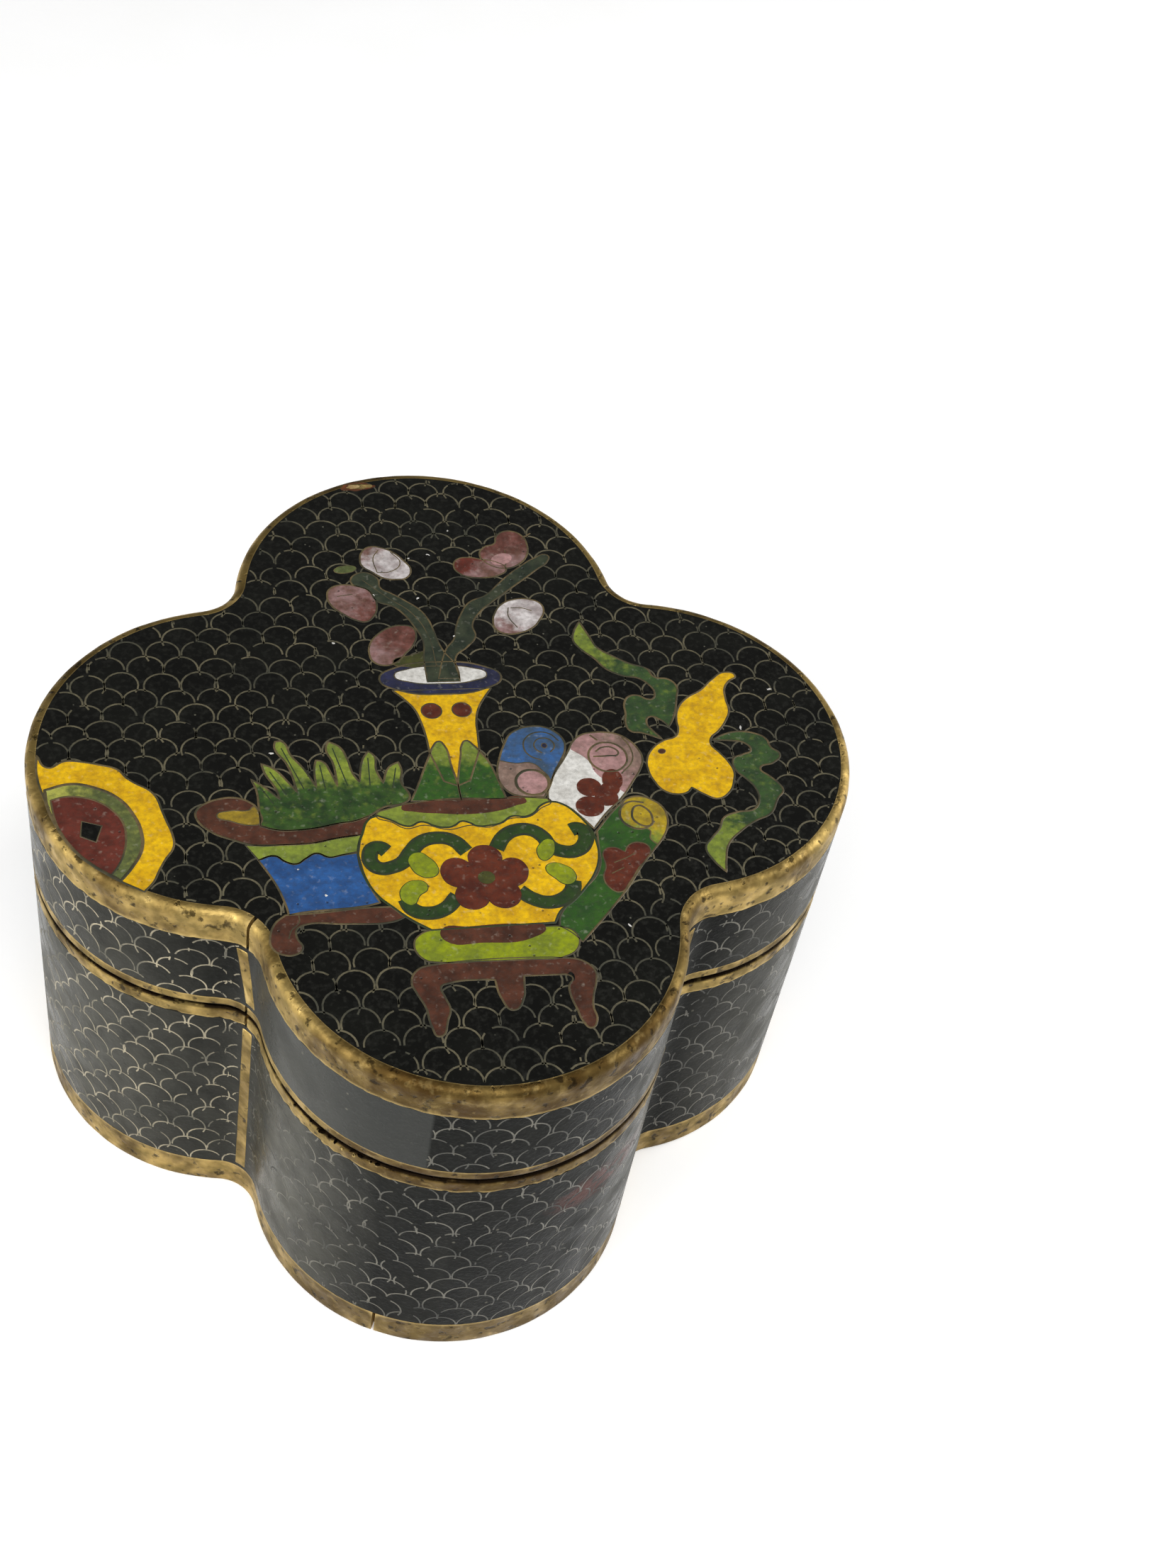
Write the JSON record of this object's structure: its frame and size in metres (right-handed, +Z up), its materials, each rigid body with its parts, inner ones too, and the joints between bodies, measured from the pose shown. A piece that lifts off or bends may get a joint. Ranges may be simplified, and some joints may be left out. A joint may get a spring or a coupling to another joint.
{
  "type": "cloisonne enamel box",
  "caption": "Lidded four-lobed box of black cloisonne enamel with brass edges, fish-scale wires and an inlaid picture of vessels and flowers on its flat lid.",
  "frame": {"origin": "middle of the underside, on the surface that the box stands on", "axes": "+Z up; -Y to the front lobe, which carries the foot band's joint; +X to the right lobe"},
  "size_m": [0.076, 0.076, 0.043],
  "materials": {
    "brass": "aged brass, worn bright on its edges, with brown patina",
    "vessel_metal": "dull brass sheet",
    "black_enamel": "polished black enamel with fine pits"
  },
  "bodies": {
    "root": {"body_shell": "vessel_metal", "foot_band": "brass", "body_mouth_band": "brass", "body_enamel_right": "black_enamel", "body_enamel_back": "black_enamel", "body_enamel_left": "black_enamel", "body_enamel_front": "black_enamel", "body_notch_strip_back_right": "brass", "body_notch_strip_back_left": "brass", "body_notch_strip_front_left": "brass", "body_notch_strip_front_right": "brass", "lid_shell": "vessel_metal", "lid_mouth_band": "brass", "lid_top_band": "brass", "lid_enamel_right": "black_enamel", "lid_enamel_back": "black_enamel", "lid_enamel_left": "black_enamel", "lid_enamel_front": "black_enamel", "lid_notch_strip_back_right": "brass", "lid_notch_strip_back_left": "brass", "lid_notch_strip_front_left": "brass", "lid_notch_strip_front_right": "brass", "lid_top_enamel": "black_enamel"}
  },
  "joints": []
}
